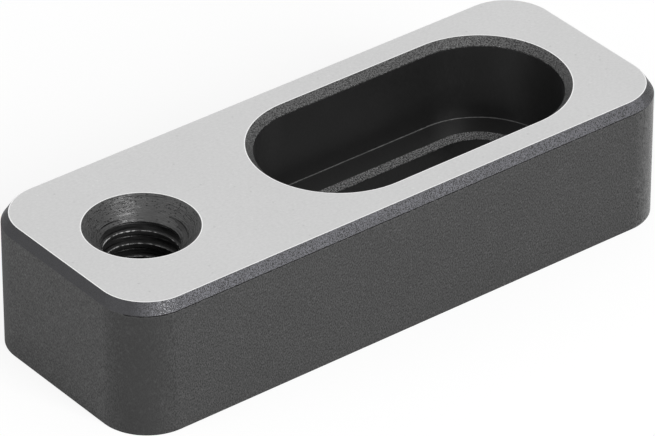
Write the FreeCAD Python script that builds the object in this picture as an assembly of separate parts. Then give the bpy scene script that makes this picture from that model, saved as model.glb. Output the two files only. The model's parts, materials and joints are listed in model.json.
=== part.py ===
import FreeCAD, Part
import os
from math import radians, tan

# A workpiece stop for a machine table or a fixture plate, in millimetres.
# It is one milled steel block that lies with its bottom face on z = 0, centred on the Z axis.
# The length runs along Y: the tapped hole is near the -Y end, the screw slot near the +Y end.

# The block
length = 45.4
width = 17.0
height = 10.0
corner_radius = 3.55
top_corner_radius = 3.5
top_chamfer_in = 0.38
top_chamfer_down = 0.76

# The slot for an M6 cap screw: a slot with a pocket above it that sinks the screw's head
slot_width = 6.8
slot_travel = 12.2
slot_centre_to_end = 10.0
head_pocket_width = 11.3
head_pocket_depth = 6.25
head_pocket_chamfer = 0.55
slot_chamfer = 0.4

# The tapped hole for an M6 stop screw, left at its drilled size
hole_centre_to_end = 6.9
tap_drill = 5.1
countersink = 7.85
back_countersink = 6.4
countersink_angle = 90.0

# Where the block's ends and the centres along its length lie
slot_far_y = length / 2 - slot_centre_to_end
slot_near_y = slot_far_y - slot_travel
hole_y = hole_centre_to_end - length / 2
shelf_z = height - head_pocket_depth

# How far a cutter runs past the faces that it opens
overrun = 1.0
up = FreeCAD.Vector(0, 0, 1)


def outline(inset, r, z):
    """The block's outline seen from above, its sides moved in by inset, corner radius r, at height z."""
    x, y = width / 2 - inset, length / 2 - inset
    edges = []
    for turn in range(4):
        # One side and the corner after it; each turn the two half sizes change places
        side, end = (x, y) if turn % 2 == 0 else (y, x)
        start = FreeCAD.Vector(side, r - end, z)
        stop = FreeCAD.Vector(side, end - r, z)
        middle = FreeCAD.Vector(side - r, end - r, z) + FreeCAD.Vector(r, r, 0) * 0.5 ** 0.5
        last = FreeCAD.Vector(side - r, end, z)
        for edge in (Part.LineSegment(start, stop).toShape(), Part.Arc(stop, middle, last).toShape()):
            edge.rotate(FreeCAD.Vector(0, 0, 0), up, 90 * turn)
            edges.append(edge)
    return Part.Wire(edges)


def milled_block():
    """The straight-sided block with the steep chamfer round its top."""
    chamfer_z = height - top_chamfer_down
    body = Part.Face(outline(0, corner_radius, 0)).extrude(up * chamfer_z)
    foot = outline(0, corner_radius, chamfer_z)
    crown = Part.makeLoft([foot, outline(top_chamfer_in, top_corner_radius, height)], True, True)
    return body.fuse(crown).removeSplitter()


def cutter(half_section, near_y, far_y):
    """What a form tool sweeps when it plunges at near_y and runs on to far_y.

    half_section lists the tool's (radius, height) corners from its foot to its top.
    """
    right = [FreeCAD.Vector(r, 0, z) for r, z in half_section]
    left = [FreeCAD.Vector(-r, 0, z) for r, z in reversed(half_section)]
    foot, top = FreeCAD.Vector(0, 0, half_section[0][1]), FreeCAD.Vector(0, 0, half_section[-1][1])
    half = Part.Face(Part.makePolygon([foot] + right + [top, foot]))
    swept = half.revolve(foot, up, 360)
    swept.translate(FreeCAD.Vector(0, near_y, 0))
    if far_y > near_y:
        end = half.revolve(foot, up, 360)
        end.translate(FreeCAD.Vector(0, far_y, 0))
        run = Part.Face(Part.makePolygon(right + left + right[:1]))
        run.translate(FreeCAD.Vector(0, near_y, 0))
        swept = swept.fuse([end, run.extrude(FreeCAD.Vector(0, far_y - near_y, 0))]).removeSplitter()
    return swept


def screw_slot():
    """The slot, the chamfer where it meets the shelf, the head pocket and the chamfer round its rim."""
    slot, pocket = slot_width / 2, head_pocket_width / 2
    return cutter(
        [
            (slot, -overrun),
            (slot, shelf_z - slot_chamfer),
            (slot + slot_chamfer, shelf_z),
            (pocket, shelf_z),
            (pocket, height - head_pocket_chamfer),
            (pocket + head_pocket_chamfer, height),
            (pocket + head_pocket_chamfer, height + overrun),
        ],
        slot_near_y,
        slot_far_y,
    )


def tapped_hole():
    """The drilled hole, countersunk at the top and, less deeply, at the bottom."""
    bore, mouth, back = tap_drill / 2, countersink / 2, back_countersink / 2
    slope = tan(radians(countersink_angle / 2))
    return cutter(
        [
            (back, -overrun),
            (back, 0),
            (bore, (back - bore) / slope),
            (bore, height - (mouth - bore) / slope),
            (mouth, height),
            (mouth, height + overrun),
        ],
        hole_y,
        hole_y,
    )


os.makedirs("parts", exist_ok=True)
stop_block = milled_block().cut([screw_slot(), tapped_hole()]).removeSplitter()
stop_block.exportStep("parts/stop_block.step")
print("stop_block:", len(stop_block.Solids), "solid,", len(stop_block.Faces), "faces, valid", stop_block.isValid())
print("volume", round(stop_block.Volume, 2), "box", stop_block.BoundBox)
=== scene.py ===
# %% [markdown]
# # A workpiece stop
#
# A workpiece stop is a small steel block that is screwed to a machine table. A cap screw sinks into its
# pocket, the block slides along its slot until it touches the work, and a stop screw can sit in the
# tapped hole. The real one is a single piece. It is milled from bar, blackened in a hot salt bath, and
# ground on its top and bottom afterwards, so those two faces are bright and all the others are black.
#
# This lesson gives the block its looks in Blender. The solid model of the block is loaded first. It
# stays where it is, and every surface made here follows its sizes.

import json
import math

import bmesh
import bpy
import numpy as np
from mathutils import Euler, Matrix, Vector


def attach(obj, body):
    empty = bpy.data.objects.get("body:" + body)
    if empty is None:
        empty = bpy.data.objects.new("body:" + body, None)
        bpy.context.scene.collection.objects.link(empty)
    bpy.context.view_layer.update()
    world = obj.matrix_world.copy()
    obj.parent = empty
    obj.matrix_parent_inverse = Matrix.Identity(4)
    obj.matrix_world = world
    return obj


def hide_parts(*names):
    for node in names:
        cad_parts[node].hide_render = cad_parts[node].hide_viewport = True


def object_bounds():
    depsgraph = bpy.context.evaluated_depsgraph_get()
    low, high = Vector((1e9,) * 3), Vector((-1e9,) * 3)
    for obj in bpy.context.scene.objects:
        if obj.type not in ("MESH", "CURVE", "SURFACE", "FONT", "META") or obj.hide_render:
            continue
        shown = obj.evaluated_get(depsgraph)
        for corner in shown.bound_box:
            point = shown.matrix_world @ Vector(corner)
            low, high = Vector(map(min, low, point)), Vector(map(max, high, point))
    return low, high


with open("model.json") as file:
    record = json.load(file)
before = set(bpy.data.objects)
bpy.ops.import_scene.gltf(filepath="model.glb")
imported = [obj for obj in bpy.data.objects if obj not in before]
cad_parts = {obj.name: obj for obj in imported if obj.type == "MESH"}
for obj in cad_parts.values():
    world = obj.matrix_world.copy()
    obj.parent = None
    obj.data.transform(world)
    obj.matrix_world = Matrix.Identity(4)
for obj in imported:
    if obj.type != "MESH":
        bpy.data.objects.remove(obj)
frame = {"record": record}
solid_low, solid_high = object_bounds()
print("solid block, mm:", [round(1000 * size, 3) for size in solid_high - solid_low])

# %% [markdown]
# ## Sizes
#
# Lengths are in metres, as everywhere in the model. The outside of the block is measured on the solid.
# The slot and the tapped hole are read from the model's list of places where something is fastened.
# What such a list doesn't say, such as a chamfer or the pitch of the thread, is written here once.

# %% Sizes of the block, the slot and the tapped hole
MM = 0.001
half_width = solid_high.x
half_length = solid_high.y
top_z = solid_high.z

mounts = {mount["name"]: mount for mount in frame["record"]["mounts"]}
slot_radius = mounts["screw_slot"]["dims"]["hole_r_mm"] * MM
slot_half_run = mounts["screw_slot"]["dims"]["slot_length_mm"] * MM / 2 - slot_radius
slot_y = mounts["screw_slot"]["pos_m"][1]
crest_radius = mounts["stop_screw_thread"]["dims"]["r_mm"] * MM
hole_y = mounts["stop_screw_thread"]["pos_m"][1]

corner_radius = 3.55 * MM
top_corner_radius = 3.5 * MM
top_chamfer_in = 0.38 * MM
top_chamfer_down = 0.76 * MM

pocket_radius = 5.65 * MM
pocket_depth = 6.25 * MM
rim_chamfer = 0.55 * MM
slot_chamfer = 0.4 * MM
shelf_z = top_z - pocket_depth

countersink_radius = 3.925 * MM
back_countersink_radius = 3.2 * MM
thread_pitch = 1.0 * MM
root_radius = 3.05 * MM
slot_ends = [round(1000 * (slot_y + side * slot_half_run), 2) for side in (-1, 1)]
print("slot runs from y", slot_ends[0], "to", slot_ends[1])
print("tapped hole at y", round(1000 * hole_y, 2))

# %% [markdown]
# ## A path round a rounded rectangle
#
# The block seen from above is a rounded rectangle, the slot is a stadium and the hole is a circle. All
# three are one shape: a core rectangle with a radius round it. For the slot the core has shrunk to a
# line, and for the hole to a point. A path is kept as arrays, the core's points and the directions
# straight out of it, so that a skin at any distance from the core is one sum of arrays.

# %% The path
longest_step = 1.5 * MM


def path_round(core_x, core_y, centre_y, quarter_steps, first_quarter=0):
    """One lap round a core rectangle of half sizes core_x and core_y: core, corner, direction and angle.

    The direction is (cos a, sin a). While a turns through a right angle, the corner numbers (1 or -1 for
    x and y) say which corner the core point rests on. Then a stands still, and they run straight on to
    the next corner's. The core point is (corner x * core_x, corner y * core_y + centre_y).
    """
    signs = np.array([(1, 1), (-1, 1), (-1, -1), (1, -1)])
    corners, turns = [], []
    for quarter in range(first_quarter, first_quarter + 4):
        here, there = signs[quarter % 4], signs[(quarter + 1) % 4]
        run_steps = math.ceil(np.linalg.norm((there - here) * (core_x, core_y)) / longest_step)
        turn = quarter + np.arange(quarter_steps) / quarter_steps
        run = np.arange(run_steps) / max(run_steps, 1)
        corners += [np.tile(here, (quarter_steps, 1)), here + run[:, None] * (there - here)]
        turns += [turn, np.full(run_steps, quarter + 1.0)]
    corner, turn = np.concatenate(corners), np.concatenate(turns)
    corner = np.vstack([corner, corner[:1]])
    angle = np.append(turn, first_quarter + 4) * math.pi / 2
    direction = np.stack([np.cos(angle), np.sin(angle)], axis=1)
    return corner * (core_x, core_y) + (0, centre_y), corner, direction, angle


block_path = path_round(
    half_width - corner_radius, half_length - corner_radius, 0, quarter_steps=32, first_quarter=1)
slot_path = path_round(0, slot_half_run, slot_y, quarter_steps=40)
hole_path = path_round(0, 0, hole_y, quarter_steps=36)
print("points on the paths:", [len(path[0]) for path in (block_path, slot_path, hole_path)])

# %% [markdown]
# ## A machined profile
#
# Cut the block with a plane across a path, and every skin is a short chain of straight lines. No real
# edge is quite sharp, so each corner of a profile is eased by a small curve. An edge is also where a
# finish changes, and where light and shade are painted: a highlight along the ground face's outline,
# and a shade line below a chamfer. So an attribute called edge is kept beside the points. It is 1 where
# a highlight is painted and -1 where a shade line is painted. It fades to 0 over the next 0.15 mm, or
# over a little less than half of a shorter side, so that two fades never meet. The materials read it later.

# %% Easing the corners of a profile
edge_band = 0.15 * MM
fade_limit = 0.45


def machined_profile(corners, curve_steps=4):
    """Rows of (radius, height, edge) and the finish between them, from (radius, height, ease, edge, finish).

    A corner P with directions u and v to its neighbours becomes the curve
    Q(s) = (1 - s)^2 (P + ease u) + 2 s (1 - s) P + s^2 (P + ease v), for s from 0 to 1.
    A finish lasts from the middle of its corner's curve to the middle of the next one.
    """
    places = np.array([corner[:2] for corner in corners])
    s = np.linspace(0, 1, curve_steps + 1)[:, None]
    rows = [(*places[0], 0.0)]
    finishes = []
    for number in range(1, len(corners) - 1):
        before, here, after = places[number - 1:number + 2]
        ease, edge = corners[number][2:4]
        reach_u, reach_v = np.linalg.norm(before - here), np.linalg.norm(after - here)
        u, v = (before - here) / reach_u, (after - here) / reach_v
        curve = (1 - s) ** 2 * (here + ease * u) + 2 * s * (1 - s) * here + s ** 2 * (here + ease * v)
        fade_u, fade_v = np.minimum(ease + edge_band, fade_limit * np.array([reach_u, reach_v]))
        rows += [(*(here + fade_u * u), 0.0)]
        rows += [(*point, edge) for point in curve]
        rows += [(*(here + fade_v * v), 0.0)]
        half_way = curve_steps // 2
        finishes += [corners[number - 1][4]] * (half_way + 2) + [corners[number][4]] * (half_way + 1)
    rows.append((*places[-1], 0.0))
    return np.array(rows), np.array(finishes + [corners[-2][4]])


one_corner = [(0, 1, 0, 0, 0), (0, 0, 0.1, 1, 1), (1, 0, 0, 0, 1)]
print("rows that one eased corner makes:", len(machined_profile(one_corner)[0]))

# %% [markdown]
# ## A grid of points becomes a patch of mesh
#
# A patch is a grid of points with two parameters: along, the way round the path, and across, the way
# down the profile, both in metres. They are kept as a UV map, so that tool marks can follow the
# surface. A cutter doesn't leave the same finish all the way round, and light falls differently from
# side to side, so two more attributes say how coarse the finish is and how pale it is painted at each
# point, where 1 is what the material itself says. The paleness is painted light or shade. The patch is
# only arrays at this stage, because all patches go into one mesh at the end.

# %% A patch
patches = []


def add_patch(title, points, along, across, edge, finish, coarse=1.0, pale=1.0):
    """Keeps the grid points[i, j] with its quads (i, j), (i+1, j), (i+1, j+1), (i, j+1)."""
    columns, rows = points.shape[:2]
    number = np.arange(columns * rows).reshape(columns, rows)
    quads = np.stack([number[:-1, :-1], number[1:, :-1], number[1:, 1:], number[:-1, 1:]], axis=-1)
    run = np.stack(np.broadcast_arrays(along[:, None], across[None, :]), axis=-1)
    patches.append({
        "points": points.reshape(-1, 3),
        "quads": quads.reshape(-1, 4),
        "run": run.reshape(-1, 2),
        "edge": np.broadcast_to(edge, (columns, rows)).ravel(),
        "coarse": np.broadcast_to(coarse, (columns, rows)).ravel(),
        "pale": np.broadcast_to(pale, (columns, rows)).ravel(),
        "finish": np.broadcast_to(finish, (columns - 1, rows - 1)).ravel(),
    })
    print(title, "has", len(patches[-1]["quads"]), "faces")


# %% [markdown]
# Most patches are a machined profile carried round a path. Where the block differs from one side to the
# next, a function of the height or of the direction says how. By default nothing differs.

# %% Carrying a profile round a path
def no_push(height):
    """0 at every height."""
    return 0 * height


def full_shade_line(direction):
    """1 in every direction."""
    return np.ones(len(direction))


def carry_round(title, path, corners, push=no_push, shade_line_share=full_shade_line, looks=None):
    """Carries a machined profile round a path, each row at its own height.

    point = core + push * corner + (radius - push) * direction. A push of 0 keeps every row parallel to
    the first. Another push moves a row's corner centres and gives its corners another radius, but leaves
    its straight sides where they are. shade_line_share says how much of a painted shade line at a dark edge
    is kept in a direction. looks gives for a finish how coarse it is, and how pale, which is painted light
    or shade, in a direction.
    """
    core, corner, direction, angle = path
    rows, finishes = machined_profile(corners)
    radius, height, edge = rows.T
    moved = push(height)[None, :, None]
    reach = radius[None, :, None] - moved
    flat = core[:, None, :] + moved * corner[:, None, :] + reach * direction[:, None, :]
    points = np.dstack([flat, np.broadcast_to(height, flat.shape[:2])])
    steps = np.hypot(*np.diff(core, axis=0).T) + np.median(radius) * np.diff(angle)
    along = np.append(0, np.cumsum(steps))
    across = np.append(0, np.cumsum(np.hypot(np.diff(radius), np.diff(height))))
    # Painted shade lines at dark edges are kept as far as the share says in each direction.
    edge = np.where(edge < 0, edge * shade_line_share(direction)[:, None], edge)
    coarse, pale = np.ones(flat.shape[:2]), np.ones(flat.shape[:2])
    row_finish = np.append(finishes, finishes[-1])
    for finish, look in (looks or {}).items():
        finish_rows = row_finish == finish
        coarse[:, finish_rows], pale[:, finish_rows] = [values[:, None] for values in look(direction)]
    add_patch(title, points, along, across, edge, finishes, coarse, pale)


# %% [markdown]
# ## The outside
#
# The long sides and ends are milled and then chamfered round the top, more down than in. The chamfer
# grows a little on the corners, where the top's own radius is larger than a parallel line would give. The
# profile starts on the ground top, just inside its edge, and ends on the bottom. The number that stands
# for a finish is its place in the list of materials further down.
#
# Going round the block, the finish changes, and so do the light and shade painted into it. The painted
# shade line below the chamfer is there on the long sides only. The corners of the tapped end are
# smoother than the walls and painted darker, those of the slot end are coarser and painted paler, and
# the chamfer is coarse and painted pale on the long sides but painted darker on both ends. Separate
# materials would meet in hard lines there, so smooth functions of the direction give these changes.

# %% How the outside changes on its way round
FINISH_COUNT = 8
GROUND, WALL, CHAMFER, RIM, POCKET, SLOT_CHAMFER, CONE, THREAD = range(FINISH_COUNT)
chamfer_radius = corner_radius - top_chamfer_in
chamfer_z = top_z - top_chamfer_down


def top_corner_push(height):
    """0 up to the chamfer's foot, then evenly on to what gives the top its own corner radius."""
    return np.interp(height, [chamfer_z, top_z], [0, chamfer_radius - top_corner_radius])


# The painted shade line below the chamfer is kept on the long sides only.
def shade_line_on_long_sides(direction):
    """0 on the ends and 1 on the long sides: (|cos a| - 0.35) / 0.2, held between the two."""
    return np.clip((np.abs(direction[:, 0]) - 0.35) / 0.2, 0, 1)


def wall_grain_and_painted_light(direction):
    """Coarseness 1 + 0.8 t, and paleness 1 + 0.6 t at the slot end and 1 + 0.24 t at the tapped end.

    t is |sin 2a| in the corners of the slot end, -|sin 2a| in those of the tapped end, and 0 on the sides.
    The paleness is painted light: lighter on the slot end's corners, painted shade on the tapped end's.
    """
    x, y = direction.T
    t = 2 * np.abs(x) * y
    return 1 + 0.8 * t, 1 + np.where(t > 0, 0.6, 0.24) * t


def chamfer_grain_and_painted_light(direction):
    """Coarse and pale on the long sides, darker on both ends, and smooth on the tapped end.

    In the tapped end's corners both grow with (|cos a| - 0.6) / 0.38. In the slot end's corners only the
    paleness does, with (|cos a| - 0.85) / 0.12. Each is held between 0 and 1. The paleness is painted
    light: lighter on the long sides and painted shade on the ends.
    """
    side = np.abs(direction[:, 0])
    tapped = np.clip((side - 0.6) / 0.38, 0, 1)
    slotted = np.clip((side - 0.85) / 0.12, 0, 1)
    at_tapped_end = direction[:, 1] < 0
    coarse = np.where(at_tapped_end, 0.2 + 0.8 * tapped, 1)
    return coarse, np.where(at_tapped_end, 0.38 + 0.62 * tapped, 0.3 + 0.7 * slotted)


diagonal = 0.5 ** 0.5
corner_middle = np.array([(diagonal, -diagonal), (diagonal, diagonal)])
print("coarse and pale in the middle of a tapped-end and of a slot-end corner")
print("wall:", [values.round(2).tolist() for values in wall_grain_and_painted_light(corner_middle)])
print("chamfer:", [values.round(2).tolist() for values in chamfer_grain_and_painted_light(corner_middle)])

# %% The outside skin
margin = 0.25 * MM
fine_ease = 0.025 * MM
edge_ease = 0.03 * MM

# The edge value 1 paints a highlight on the top's outline, and -1 paints a shade line below the chamfer. The
# looks paint the walls and the chamfer lighter or darker by direction.
carry_round("outside", block_path, [
    (chamfer_radius - margin, top_z, 0, 0, GROUND),
    (chamfer_radius, top_z, fine_ease, 1, CHAMFER),
    (corner_radius, chamfer_z, edge_ease, -1, WALL),
    (corner_radius, 0, edge_ease, 0, GROUND),
    (corner_radius - margin, 0, 0, 0, GROUND),
], top_corner_push, shade_line_on_long_sides, {WALL: wall_grain_and_painted_light, CHAMFER: chamfer_grain_and_painted_light})

# %% [markdown]
# ## The stepped slot
#
# One plunge and one run of a cutter make each step: the narrow slot for the screw's shank, and the wide
# pocket that hides its head. The screw bears on the shelf between them. Both have a 45 degree chamfer.
# The cutter's own corner leaves a small round where the pocket's wall meets the shelf, and a highlight
# painted along that round is the light line seen deep in the pocket. Shade lines are painted along the
# foot of the rim chamfer and along both edges of the slot chamfer.

# %% The slot skin
cutter_corner = 0.04 * MM

carry_round("stepped slot", slot_path, [
    (pocket_radius + rim_chamfer + margin, top_z, 0, 0, GROUND),
    (pocket_radius + rim_chamfer, top_z, fine_ease, 1, RIM),
    (pocket_radius, top_z - rim_chamfer, fine_ease, -1, POCKET),
    (pocket_radius, shelf_z, cutter_corner, 0.7, POCKET),
    (slot_radius + slot_chamfer, shelf_z, fine_ease, -0.8, SLOT_CHAMFER),
    (slot_radius, shelf_z - slot_chamfer, fine_ease, -1, POCKET),
    (slot_radius, 0, edge_ease, 0, GROUND),
    (slot_radius + margin, 0, 0, 0, GROUND),
])

# %% [markdown]
# ## The tapped hole
#
# The hole is drilled, countersunk on both faces and tapped. A thread is the one surface here that isn't
# a profile carried round: it climbs by one pitch in each turn. A grid still makes it, if its rows climb
# too. Then a crest stays on the same row all the way, and it comes out crisp. After one turn each row
# meets the row one pitch higher, so the last column closes on the first.
#
# Where the cone is wider than the thread, the cone wins. Taking the larger of the two radii lets the
# first thread run out into the countersink as a fading groove, as it does on the real block.

# %% The thread's shape
flank_angle = math.radians(30)
root_flat = thread_pitch / 8
root_height = 0.88 * MM
worn_corner = 0.03 * MM


def sharp_thread(height):
    """Radius at a height above a root's middle: root_radius - (d - root_flat / 2) / tan(flank_angle).

    d is the distance to the nearest root's middle. The radius is held between the crest's and the root's.
    """
    d = np.abs((height + thread_pitch / 2) % thread_pitch - thread_pitch / 2)
    slope = root_radius - (d - root_flat / 2) / math.tan(flank_angle)
    return np.clip(slope, crest_radius, root_radius)


def worn_thread(height, samples=7):
    """The sharp thread averaged over heights up to worn_corner away, as a used tap rounds its corners."""
    shifts = np.linspace(-worn_corner, worn_corner, samples)
    return np.mean([sharp_thread(height + shift) for shift in shifts], axis=0)


# The crest's upper corner is where a highlight is painted.
def near_crest_corner(height):
    """1 on the upper corner of a crest, falling to 0 over half an edge band."""
    above_root = (height + thread_pitch / 2) % thread_pitch - thread_pitch / 2
    corner = root_flat / 2 + (root_radius - crest_radius) * math.tan(flank_angle)
    return np.clip(1 - 2 * np.abs(above_root + corner) / edge_band, 0, 1)


root_and_crest = worn_thread(np.array([0, thread_pitch / 2]))
print("thread radius at a root and at a crest, mm:", (1000 * root_and_crest).round(3).tolist())

# %% The thread's skin
rows_per_pitch = 32
cone_clear = 0.05 * MM
zone_top = top_z - (countersink_radius - root_radius) + cone_clear
zone_foot = back_countersink_radius - root_radius - cone_clear


def tapped_skin():
    """Rows climb with the thread: height = row height + pitch * angle / full turn, held inside the zone.

    The radius is the largest of the thread's, the countersink's and the back countersink's.
    """
    core, _, direction, angle = hole_path
    first = math.floor((zone_foot - root_height) / thread_pitch - 1) * rows_per_pitch
    last = math.ceil((zone_top - root_height) / thread_pitch) * rows_per_pitch
    above_root = np.arange(last, first - 1, -1) * thread_pitch / rows_per_pitch
    climb = root_height + thread_pitch * angle[:, None] / (2 * math.pi)
    height = np.clip(above_root[None, :] + climb, zone_foot, zone_top)
    thread = worn_thread(height - climb)
    cone = np.maximum(countersink_radius - (top_z - height), back_countersink_radius - height)
    radius = np.maximum(thread, cone)
    points = np.dstack([core[:, None, :] + radius[..., None] * direction[:, None, :], height])
    cut = thread > cone
    finish = np.where(cut[1:, 1:] | cut[:-1, :-1], THREAD, CONE)
    # A highlight is painted on the crests' upper corners.
    edge = near_crest_corner(height - climb) * cut
    add_patch("thread", points, angle * crest_radius, -above_root, edge, finish)


carry_round("countersink", hole_path, [
    (countersink_radius + margin, top_z, 0, 0, GROUND),
    (countersink_radius, top_z, fine_ease, 1, CONE),
    (countersink_radius - (top_z - zone_top), zone_top, 0, 0, CONE),
])
tapped_skin()
carry_round("back countersink", hole_path, [
    (back_countersink_radius - zone_foot, zone_foot, 0, 0, CONE),
    (back_countersink_radius, 0, fine_ease, 0, GROUND),
    (back_countersink_radius + margin, 0, 0, 0, GROUND),
])

# %% [markdown]
# ## One closed mesh
#
# The patches meet edge to edge, so welding their doubled points joins them. What is then still open is
# the two flat faces: each has an outline with the mouths of the slot and the hole in it, and Blender
# fills such a face by itself. Every patch kept a narrow flat margin there, so the fill touches only
# points that look straight up or down, and its long triangles shade as one flat face. The shading is
# smooth, except where two faces turn by more than 40 degrees.

# %% Joining the patches
def block_mesh(name):
    """Joins all patches, with each quad's numbers moved on by the points that came before it."""
    before = np.cumsum([0] + [len(patch["points"]) for patch in patches])
    points = np.concatenate([patch["points"] for patch in patches])
    quads = np.concatenate([patch["quads"] + start for patch, start in zip(patches, before)])
    run = np.concatenate([patch["run"] for patch in patches])
    mesh = bpy.data.meshes.new(name)
    mesh.from_pydata(points, [], quads)
    mesh.polygons.foreach_set("material_index", np.concatenate([patch["finish"] for patch in patches]))
    mesh.uv_layers.new(name="run").uv.foreach_set("vector", run[quads.ravel()].ravel())
    for title in ("edge", "coarse", "pale"):
        values = np.concatenate([patch[title] for patch in patches])
        mesh.attributes.new(title, "FLOAT", "CORNER").data.foreach_set("value", values[quads.ravel()])
    return mesh


# %% Welding the points and filling the flat faces
weld = 0.0005 * MM


def close_mesh(mesh):
    """Welds doubled points, fills the flat faces between their outlines and points every face outwards."""
    shell = bmesh.new()
    shell.from_mesh(mesh)
    bmesh.ops.remove_doubles(shell, verts=shell.verts, dist=weld)
    for height in (top_z, 0):
        outline = [
            edge for edge in shell.edges
            if edge.is_boundary and all(abs(vert.co.z - height) < weld for vert in edge.verts)
        ]
        bmesh.ops.triangle_fill(shell, edges=outline, use_beauty=True)
    bmesh.ops.recalc_face_normals(shell, faces=shell.faces)
    open_edges = sum(not edge.is_manifold for edge in shell.edges)
    volume = round(shell.calc_volume() / MM ** 3, 2)
    print("closed mesh:", len(shell.faces), "faces,", open_edges, "open edges,", volume, "cubic mm")
    shell.to_mesh(mesh)
    shell.free()


# %% The block
sharp_angle = math.radians(40)

mesh = block_mesh("machined_block")
close_mesh(mesh)
mesh.polygons.foreach_set("use_smooth", np.ones(len(mesh.polygons), bool))
mesh.set_sharp_from_angle(angle=sharp_angle)
block = bpy.data.objects.new("machined_block", mesh)
bpy.context.scene.collection.objects.link(block)

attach(block, "root")
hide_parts("stop_block")
print(block.name, "rides on root and stands for stop_block")

# %% [markdown]
# ## Tools for building materials
#
# A material is a small network of nodes. Four helpers keep the networks short to read: one adds a node
# with its settings and inputs, one does a step of arithmetic, one starts a node group, and one places
# such a group in a material.

# %% Node helpers
def add_node(tree, kind, inputs=None, **settings):
    """Adds a node. An input is linked when it is given as a socket, and set when it is given as a value."""
    made = tree.nodes.new(kind)
    for name, value in settings.items():
        setattr(made, name, value)
    for name, value in (inputs or {}).items():
        if isinstance(value, bpy.types.NodeSocket):
            tree.links.new(value, made.inputs[name])
        else:
            made.inputs[name].default_value = value
    return made


def arithmetic(tree, operation, *values):
    """One Math node on one to three values or sockets, and its result as a socket."""
    return add_node(tree, "ShaderNodeMath", dict(enumerate(values)), operation=operation).outputs[0]


# %% Group helpers
def new_group(name, inputs, outputs):
    """An empty node group with named inputs (their default values say what type they are) and outputs."""
    tree = bpy.data.node_groups.new(name, "ShaderNodeTree")
    for title, default in inputs.items():
        kind = "NodeSocketVector" if isinstance(default, tuple) else "NodeSocketFloat"
        socket = tree.interface.new_socket(title, in_out="INPUT", socket_type=kind)
        socket.default_value = default
    for title in outputs:
        tree.interface.new_socket(title, in_out="OUTPUT", socket_type="NodeSocketFloat")
    start, end = tree.nodes.new("NodeGroupInput"), tree.nodes.new("NodeGroupOutput")
    return tree, start.outputs, end.inputs


def use_group(tree, group, **inputs):
    """Places a group in a material. An input's name has spaces where the keyword has underscores."""
    made = add_node(tree, "ShaderNodeGroup", node_tree=group)
    for title, value in inputs.items():
        socket = made.inputs[title.replace("_", " ")]
        if isinstance(value, bpy.types.NodeSocket):
            tree.links.new(value, socket)
        else:
            socket.default_value = value
    return made.outputs


# %% [markdown]
# ## Grain, pits and painted edge lines as shared effects
#
# Every machined face has a grain, and only its direction, fineness and strength differ: a milled wall is
# streaked, a ground face is softly mottled, a chamfer is coarse. So grain is one node group. It takes a
# density in marks per metre for each direction, which makes streaks when the directions differ, and it
# puts out a mask between 0 and 1. Low and High set how hard the border between two marks is.
#
# Pits is a second group. It picks a share of the cells of a Voronoi pattern and puts a round spot in
# each. Edges is the third. It shakes the edge attribute with noise before it cuts it off, because a
# painted line with an even width looks drawn. Bright is a painted highlight line, Dark is a painted
# shade line, and Near is a wider band beside a dark one.

# %% Grain
def spread_out(tree, given):
    """The group's Vector times its Density, as a socket."""
    inputs = {0: given["Vector"], 1: given["Density"]}
    return add_node(tree, "ShaderNodeVectorMath", inputs, operation="MULTIPLY").outputs[0]


def ramp(tree, value, low, high, first=0.0, last=1.0):
    """Runs evenly from first to last while the value goes from low to high, and is held there outside."""
    inputs = {"Value": value, "From Min": low, "From Max": high, "To Min": first, "To Max": last}
    return add_node(tree, "ShaderNodeMapRange", inputs).outputs["Result"]


grain, given, result = new_group(
    "grain", {"Vector": (0.0, 0.0, 0.0), "Density": (1000.0,) * 3, "Low": 0.35, "High": 0.65}, ["Mask"])
noise = add_node(
    grain, "ShaderNodeTexNoise",
    {"Vector": spread_out(grain, given), "Scale": 1.0, "Detail": 3.0, "Roughness": 0.6})
grain.links.new(ramp(grain, noise.outputs["Fac"], given["Low"], given["High"]), result["Mask"])
print("group:", grain.name)

# %% Pits
pits, given, result = new_group(
    "pits", {"Vector": (0.0, 0.0, 0.0), "Density": (1000.0,) * 3, "Share": 0.1, "Size": 0.3}, ["Mask"])
cells = add_node(pits, "ShaderNodeTexVoronoi", {"Vector": spread_out(pits, given), "Scale": 1.0})
chance = add_node(pits, "ShaderNodeSeparateColor", {"Color": cells.outputs["Color"]})
chosen = arithmetic(pits, "LESS_THAN", chance.outputs["Red"], given["Share"])
spot = ramp(pits, cells.outputs["Distance"], 0.0, given["Size"], 1.0, 0.0)
pits.links.new(arithmetic(pits, "MULTIPLY", spot, chosen), result["Mask"])
print("group:", pits.name)

# %% Edges
line_fade = 0.2
near_low = 0.05
near_high = 0.3

edges, given, result = new_group(
    "edges", {"Vector": (0.0, 0.0, 0.0), "Density": (3500.0,) * 3, "Ragged": 0.5, "Width": 0.5},
    ["Bright", "Dark", "Near"])
edge = add_node(edges, "ShaderNodeAttribute", attribute_name="edge").outputs["Fac"]
noise = add_node(
    edges, "ShaderNodeTexNoise", {"Vector": spread_out(edges, given), "Scale": 1.0, "Detail": 3.0})
shake = arithmetic(edges, "SUBTRACT", noise.outputs["Fac"], 0.5)
shake = arithmetic(edges, "MULTIPLY", shake, given["Ragged"])
line_low = arithmetic(edges, "SUBTRACT", 1.0, given["Width"])
line_high = arithmetic(edges, "ADD", line_low, line_fade)
cuts = [
    ("Bright", 1.0, line_low, line_high),
    ("Dark", -1.0, line_low, line_high),
    ("Near", -1.0, near_low, near_high),
]
for title, side, low, high in cuts:
    amount = arithmetic(edges, "MULTIPLY_ADD", edge, side, shake)
    edges.links.new(ramp(edges, amount, low, high), result[title])
print("group:", edges.name)


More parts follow.
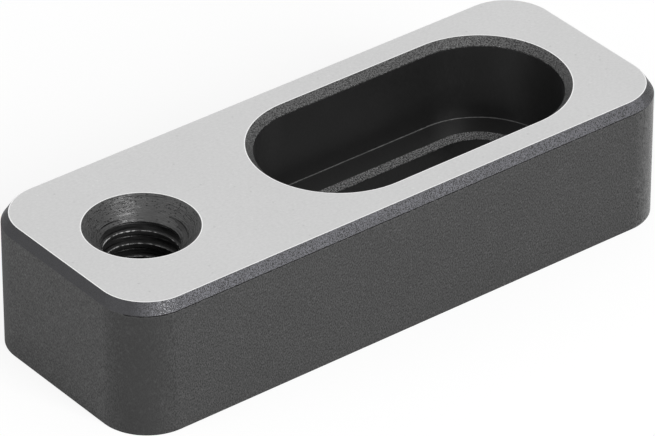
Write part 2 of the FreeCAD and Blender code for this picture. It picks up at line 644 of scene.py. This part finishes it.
# %% [markdown]
# ## Ground steel
#
# The grinding wheel leaves a flat, even, pale face. From near it is softly mottled with a hint of lines
# along the block, and it has a few specks and hairline scratches from handling. It is bare metal, so
# its colour is the colour of its reflection. A thin highlight is painted along its outlines, for the
# glint of a hair of burr. The colour is a sum of masks, each with its own share.

# %% What both kinds of finish start from
def grey(tree, value, blue=1.0):
    """A value socket as a grey colour socket, with its blue multiplied."""
    bluish = arithmetic(tree, "MULTIPLY", value, blue) if blue != 1 else value
    return add_node(tree, "ShaderNodeCombineColor", {"Red": value, "Green": value, "Blue": bluish}).outputs[0]


def new_material(name, metallic, **constants):
    """A material, its tree, its shader with the constants set, and the object's own coordinates."""
    material = bpy.data.materials.new(name)
    material.use_nodes = True
    tree = material.node_tree
    shader = tree.nodes["Principled BSDF"]
    shader.inputs["Metallic"].default_value = metallic
    for title, value in constants.items():
        shader.inputs[title.replace("_", " ")].default_value = value
    place = add_node(tree, "ShaderNodeTexCoord").outputs["Object"]
    return material, tree, shader, place


# %% Ground steel
soft_grain = {"Low": 0.3, "High": 0.7}
bare_tone = 0.555
ground_roughness = 0.3
line_roughness = 0.12


def ground_steel():
    """Bare steel: bare_tone plus the share of each mask. The lines add line_roughness to its roughness."""
    material, tree, shader, place = new_material("ground_steel", 1.0)

    def grain_of(*density):
        """The mask of a soft grain."""
        return use_group(tree, grain, Vector=place, Density=density, **soft_grain)["Mask"]

    def pits_of(share, size, *density):
        """The mask of a few spots, or of scratches where the density is uneven."""
        return use_group(tree, pits, Vector=place, Density=density, Share=share, Size=size)["Mask"]

    mottling = grain_of(6000.0, 4000.0, 6000.0)
    lines = grain_of(11000.0, 900.0, 11000.0)
    drift = grain_of(90.0, 90.0, 90.0)
    dark_specks = pits_of(0.05, 0.3, 2600.0, 2600.0, 2600.0)
    bright_specks = pits_of(0.05, 0.3, 3100.0, 3100.0, 3100.0)
    scratches = pits_of(0.03, 0.4, 6000.0, 300.0, 6000.0)
    # A painted highlight along the outlines of the ground face.
    edge_highlight = use_group(tree, edges, Vector=place, Ragged=0.4, Width=0.6)["Bright"]
    shares = [
        (mottling, 0.055),
        (lines, 0.03),
        (drift, 0.02),
        (dark_specks, -0.12),
        (bright_specks, 0.08),
        (scratches, -0.05),
        (edge_highlight, 0.28),
    ]
    tone = bare_tone
    for mask, share in shares:
        tone = arithmetic(tree, "MULTIPLY_ADD", mask, share, tone)
    tree.links.new(grey(tree, tone), shader.inputs["Base Color"])
    roughness = arithmetic(tree, "MULTIPLY_ADD", lines, line_roughness, ground_roughness)
    tree.links.new(roughness, shader.inputs["Roughness"])
    return material


finishes = [None] * FINISH_COUNT
finishes[GROUND] = ground_steel()
print("finish:", finishes[GROUND].name)

# %% [markdown]
# ## Blackened steel
#
# Hot blackening turns the outermost steel to a thin black oxide. It doesn't fill tool marks, so each
# face keeps the texture of the cutter that made it, and a smooth cut looks blacker than a rough one. The
# oxide is modelled as a dark base with an ordinary clear gloss, which is why a silhouette turns lighter
# and the pocket stays nearly black, together with a pocket base that is partly painted shade. Shade is
# also painted as a dark line along some edges. There, as in the real scores and pits, the base is
# darker still and made metallic, because a dark metal has no gloss on top that would show it grey.
#
# One function makes all the black finishes. Its numbers are what a maker would say of a surface: how
# dark, how strong and how fine its marks are, how dull and how deep. Further numbers paint highlight and
# shade lines along its edges.

# %% Blackened steel
cloud_density = (310.0,) * 3
score_density = (150.0, 7000.0, 1.0)
score_cut = {"Low": 0.6, "High": 0.68}
pit_size = 0.6
mark_depth = 0.02 * MM
smooth_adds = 0.25


def blackened_steel(name, tone, contrast, density, roughness, bump, mirror=0.3, soft=0.25, swing=0.15,
                    blue=1.0, follow_run=False, slant=0.0, scored=0.0, pitted=0.0, pit_density=(3000.0,) * 3,
                    painted_shade_line=0.0, near_edge=0.0, painted_highlight=0.0, ragged=0.8, width=0.4, cloud=0.0):
    """A black finish. Its marks are the grain's mask about 0, times the attribute coarse.

    colour = tone * pale * (1 + 2 * contrast * marks) * drift * (1 + near_edge * Near - gap)
    + painted_highlight * Bright, where drift is a slow change by cloud, and the gap is the largest of
    painted_shade_line * Dark, scored * the turned scores, and the pits. pale is painted light or shade by
    direction, painted_highlight * Bright is a painted highlight line, and painted_shade_line * Dark is a
    painted shade line, while the scores and the pits are real marks. Where the cloud mask is 1, a share
    pitted of the cells has a pit, and where it is 0, none has.
    roughness = roughness + smooth_adds * (1 - coarse) - swing * marks.
    bump is how strong the marks' relief is, and mark_depth how deep. The marks follow the UV map with
    follow_run, turned by slant. Smaller soft values harden them.
    """
    material, tree, shader, place = new_material(name, 0.0, Specular_IOR_Level=mirror)
    run = add_node(tree, "ShaderNodeUVMap", uv_map="run").outputs["UV"]
    where = run if follow_run else place
    if slant:
        turned = add_node(tree, "ShaderNodeMapping", {"Vector": where, "Rotation": (0, 0, slant)})
        where = turned.outputs["Vector"]
    coarse = add_node(tree, "ShaderNodeAttribute", attribute_name="coarse").outputs["Fac"]
    pale = add_node(tree, "ShaderNodeAttribute", attribute_name="pale").outputs["Fac"]
    marks = use_group(tree, grain, Vector=where, Density=density, Low=0.5 - soft, High=0.5 + soft)["Mask"]
    marks = arithmetic(tree, "MULTIPLY", arithmetic(tree, "SUBTRACT", marks, 0.5), coarse)
    clouds = use_group(tree, grain, Vector=place, Density=cloud_density, **soft_grain)["Mask"]
    edge = use_group(tree, edges, Vector=place, Ragged=ragged, Width=width)

    value = arithmetic(tree, "MULTIPLY_ADD", marks, 2 * contrast, 1.0)
    drift = arithmetic(tree, "MULTIPLY_ADD", clouds, 2 * cloud, 1 - cloud)
    value = arithmetic(tree, "MULTIPLY", value, drift)
    value = arithmetic(tree, "MULTIPLY", value, tone)
    # pale paints light or shade by direction into the colour.
    value = arithmetic(tree, "MAXIMUM", arithmetic(tree, "MULTIPLY", value, pale), 0.0)
    # Painted shade lines at dark edges, and the real scores and pits, darken the base.
    if painted_shade_line or pitted or scored:
        shade_line_and_marks = arithmetic(tree, "MULTIPLY", edge["Dark"], painted_shade_line)
        if scored:
            scores = use_group(tree, grain, Vector=run, Density=score_density, **score_cut)["Mask"]
            shade_line_and_marks = arithmetic(tree, "MAXIMUM", shade_line_and_marks, arithmetic(tree, "MULTIPLY", scores, scored))
        if pitted:
            share = arithmetic(tree, "MULTIPLY", clouds, pitted)
            holes = use_group(
                tree, pits, Vector=where, Density=pit_density, Share=share, Size=pit_size)["Mask"]
            shade_line_and_marks = arithmetic(tree, "MAXIMUM", shade_line_and_marks, holes)
        shade = arithmetic(tree, "MULTIPLY_ADD", edge["Near"], near_edge, 1.0)
        value = arithmetic(tree, "MULTIPLY", value, arithmetic(tree, "SUBTRACT", shade, shade_line_and_marks))
        tree.links.new(shade_line_and_marks, shader.inputs["Metallic"])
    # A painted highlight line at bright edges.
    if painted_highlight:
        value = arithmetic(tree, "MULTIPLY_ADD", edge["Bright"], painted_highlight, value)
    tree.links.new(grey(tree, value, blue), shader.inputs["Base Color"])

    dull = arithmetic(tree, "MULTIPLY_ADD", coarse, -smooth_adds, roughness + smooth_adds)
    tree.links.new(arithmetic(tree, "MULTIPLY_ADD", marks, -swing, dull), shader.inputs["Roughness"])
    relief = add_node(tree, "ShaderNodeBump", {"Height": marks, "Strength": bump, "Distance": mark_depth})
    tree.links.new(relief.outputs["Normal"], shader.inputs["Normal"])
    return material


# %% [markdown]
# ## The finishes of the outside
#
# The side of a milling cutter leaves a fine, even grain on the walls, a little longer upwards than
# sideways. The chamfer was cut with a rougher tool. Its marks are coarse and catch the light. Its base
# is also set lighter as a partly painted reflection, so that it is the palest of the black faces, with a
# slightly blue tint.

# %% Walls and chamfer
# The wall has a shade line painted below the chamfer.
finishes[WALL] = blackened_steel(
    "milled_wall", tone=0.038, contrast=0.8, density=(14000.0, 14000.0, 7000.0), roughness=0.405, bump=0.2,
    soft=0.15, painted_shade_line=0.85, near_edge=0.35, ragged=1.4, width=0.4, cloud=0.06)
# The chamfer's lighter tone is partly a painted reflection.
finishes[CHAMFER] = blackened_steel(
    "coarse_chamfer", tone=0.064, contrast=0.95, density=(12500.0,) * 3, roughness=0.36, bump=0.55,
    mirror=0.42, soft=0.08, swing=0.3, blue=1.12, cloud=0.1)
print("finishes:", finishes[WALL].name, finishes[CHAMFER].name)

# %% [markdown]
# ## The finishes of the slot
#
# The pocket was cut by a sharp end mill and is the smoothest and blackest of the surfaces. Its base is
# set far darker than the walls', partly for the smooth cut and partly as painted shade of the deep
# recess. A highlight painted along the round at its foot makes a faint light line. Its rim is as coarse
# as the outer chamfer but darker, with a painted shade line at its foot. The small chamfer below was
# dragged rather than cut, so its marks are short strokes that lie across its run, and shade lines are
# painted along both its edges.

# %% Rim, pocket and slot chamfer
# The rim has a shade line painted at its foot.
finishes[RIM] = blackened_steel(
    "pocket_rim", tone=0.05, contrast=0.95, density=(10500.0,) * 3, roughness=0.36, bump=0.6,
    mirror=0.42, soft=0.08, swing=0.35, painted_shade_line=0.8, ragged=1.0, width=0.2, cloud=0.1)
# The pocket's very dark tone is partly painted shade of the recess, and a highlight is painted on the shelf's
# round.
finishes[POCKET] = blackened_steel(
    "smooth_pocket", tone=0.004, contrast=0.6, density=(8000.0, 8000.0, 4000.0), roughness=0.41, bump=0.1,
    mirror=0.87, painted_highlight=0.15, ragged=0.3, width=0.4, cloud=0.2)
# The slot chamfer has shade lines painted along both its edges.
finishes[SLOT_CHAMFER] = blackened_steel(
    "dragged_chamfer", tone=0.165, contrast=0.9, density=(8000.0, 16000.0, 1.0), roughness=0.425, bump=0.6,
    soft=0.06, follow_run=True, slant=0.5, painted_shade_line=0.8, ragged=0.8, width=0.15)
print("finishes:", finishes[RIM].name, finishes[POCKET].name, finishes[SLOT_CHAMFER].name)

# %% [markdown]
# ## The finishes of the tapped hole
#
# A countersink turns, so its marks are long circles, with a few deep scores and the pits that chatter
# leaves. Their densities are given along the UV map: few marks round the hole and many up the cone. On
# the thread's crests a highlight is painted along their upper corners, broken in places.

# %% Countersink and thread
finishes[CONE] = blackened_steel(
    "turned_countersink", tone=0.004, contrast=0.95, density=(900.0, 14000.0, 1.0), roughness=0.43,
    bump=0.7, mirror=0.95, soft=0.1, swing=0.3, follow_run=True, scored=0.95, pitted=0.75,
    pit_density=(5000.0, 12000.0, 1.0), cloud=0.3)
# The thread has a highlight painted on its crests.
finishes[THREAD] = blackened_steel(
    "cut_thread", tone=0.02, contrast=0.8, density=(1500.0, 12000.0, 1.0), roughness=0.275, bump=0.3,
    follow_run=True, scored=0.6, painted_highlight=0.33, ragged=1.4, width=0.27)
for finish in finishes:
    block.data.materials.append(finish)
print("all finishes:", [finish.name for finish in finishes])

# %% [markdown]
# ## Floor, background and light
#
# The block lies on a plain pale floor before a white background. The white is for the camera and for
# reflections only: everything else is lit by a softer sky and two soft lamps. The main one is above the
# long side on the right, so that the faces turned that way are lighter, and a weak one lifts the foot of
# the tapped end. The floor keeps the block's shadow. It lies a hundredth of a millimetre below the
# block, because two faces in one plane hide each other at random.

# %% White background
def white_share(tree, in_view, in_mirrors):
    """in_view for a ray from the camera, in_mirrors for one off gloss or through glass, 0 for the others."""
    path = add_node(tree, "ShaderNodeLightPath")
    mirror = arithmetic(tree, "MAXIMUM", path.outputs["Is Glossy Ray"], path.outputs["Is Transmission Ray"])
    mirror = arithmetic(tree, "MULTIPLY", mirror, in_mirrors)
    view = arithmetic(tree, "MULTIPLY", path.outputs["Is Camera Ray"], in_view)
    return arithmetic(tree, "MAXIMUM", view, mirror)


sky_level = 0.43
world = bpy.data.worlds.new("white_background")
world.use_nodes = True
bpy.context.scene.world = world
tree = world.node_tree
background = tree.nodes["Background"]
strength = arithmetic(tree, "MULTIPLY_ADD", white_share(tree, 1, 1), 1 - sky_level, sky_level)
tree.links.new(strength, background.inputs["Strength"])
background.inputs["Color"].default_value = (1, 1, 1, 1)
print("background: white for the camera and for reflections,", sky_level, "for the rest")

# %% Pale floor
floor_half = 2.0
air_gap = 0.01 * MM
floor_tone = 0.95
floor_glow = 1.05
floor_white_share = 0.8
floor_mirror_share = 0.05

floor_mesh = bpy.data.meshes.new("floor")
floor_corners = floor_half * np.array([(-1, -1, 0), (1, -1, 0), (1, 1, 0), (-1, 1, 0)]) - (0, 0, air_gap)
floor_mesh.from_pydata(floor_corners, [], [(0, 1, 2, 3)])
floor = bpy.data.objects.new("floor", floor_mesh)
bpy.context.scene.collection.objects.link(floor)

floor_finish = bpy.data.materials.new("pale_floor")
floor_finish.use_nodes = True
tree = floor_finish.node_tree
tree.nodes.remove(tree.nodes["Principled BSDF"])
paint = add_node(tree, "ShaderNodeBsdfDiffuse", {"Color": (floor_tone, floor_tone, floor_tone, 1)})
white = add_node(tree, "ShaderNodeEmission", {"Color": (1, 1, 1, 1), "Strength": floor_glow})
share = white_share(tree, floor_white_share, floor_mirror_share)
both = add_node(tree, "ShaderNodeMixShader", {0: share, 1: paint.outputs[0], 2: white.outputs[0]})
tree.links.new(both.outputs[0], tree.nodes["Material Output"].inputs["Surface"])
floor_mesh.materials.append(floor_finish)
print("floor of", 2 * floor_half, "m square,", round(1000 * air_gap, 3), "mm below the block")

# %% Soft lamps
lamp_distance = 0.6


def soft_lamp(name, direction, wide, high, watts):
    """A rectangular lamp at lamp_distance in a direction from the block, facing the block."""
    lamp = bpy.data.lights.new(name, "AREA")
    lamp.shape = "RECTANGLE"
    lamp.size = wide
    lamp.size_y = high
    lamp.energy = watts
    place = Vector(direction).normalized() * lamp_distance
    lamp_object = bpy.data.objects.new(name, lamp)
    lamp_object.location = place
    lamp_object.rotation_euler = place.to_track_quat("Z", "Y").to_euler()
    bpy.context.scene.collection.objects.link(lamp_object)
    print(name, "gives", watts, "W")


soft_lamp("main_lamp", (0.86, 0.03, 0.48), wide=0.3, high=0.25, watts=3.05)
soft_lamp("fill_lamp", (-0.15, -1.0, 0.3), wide=0.3, high=0.3, watts=0.75)

# %% [markdown]
# ## The camera
#
# The photograph was taken from far away with a long lens, from the right of the tapped end and well
# above. The camera looks at the middle of the block, apart from a small offset that the framing has.

# %% Camera
azimuth = math.radians(51.848)
elevation = math.radians(32.860)
roll = math.radians(-0.052)
distance = 409.13 * MM
aim_right = -0.343 * MM
aim_up = -0.630 * MM
lens = 337.29
sensor_width = 36.0

turn = Euler((math.pi / 2 - elevation, 0, azimuth)).to_matrix() @ Matrix.Rotation(roll, 3, "Z")
aim = Vector((0, 0, top_z / 2)) + turn @ Vector((aim_right, aim_up, 0))
camera = bpy.data.objects.new("camera", bpy.data.cameras.new("camera"))
camera.matrix_world = Matrix.Translation(aim + turn @ Vector((0, 0, distance))) @ turn.to_4x4()
camera.data.lens = lens
camera.data.sensor_width = sensor_width
bpy.context.scene.collection.objects.link(camera)
bpy.context.scene.camera = camera
bpy.context.scene.view_settings.view_transform = "Standard"
print("camera at, mm:", [round(1000 * value, 2) for value in camera.matrix_world.translation])

# %% [markdown]
# ## Bringing the scene up to date
#
# At the end the view layer is brought up to date.

# %% Update the view layer
bpy.context.view_layer.update()
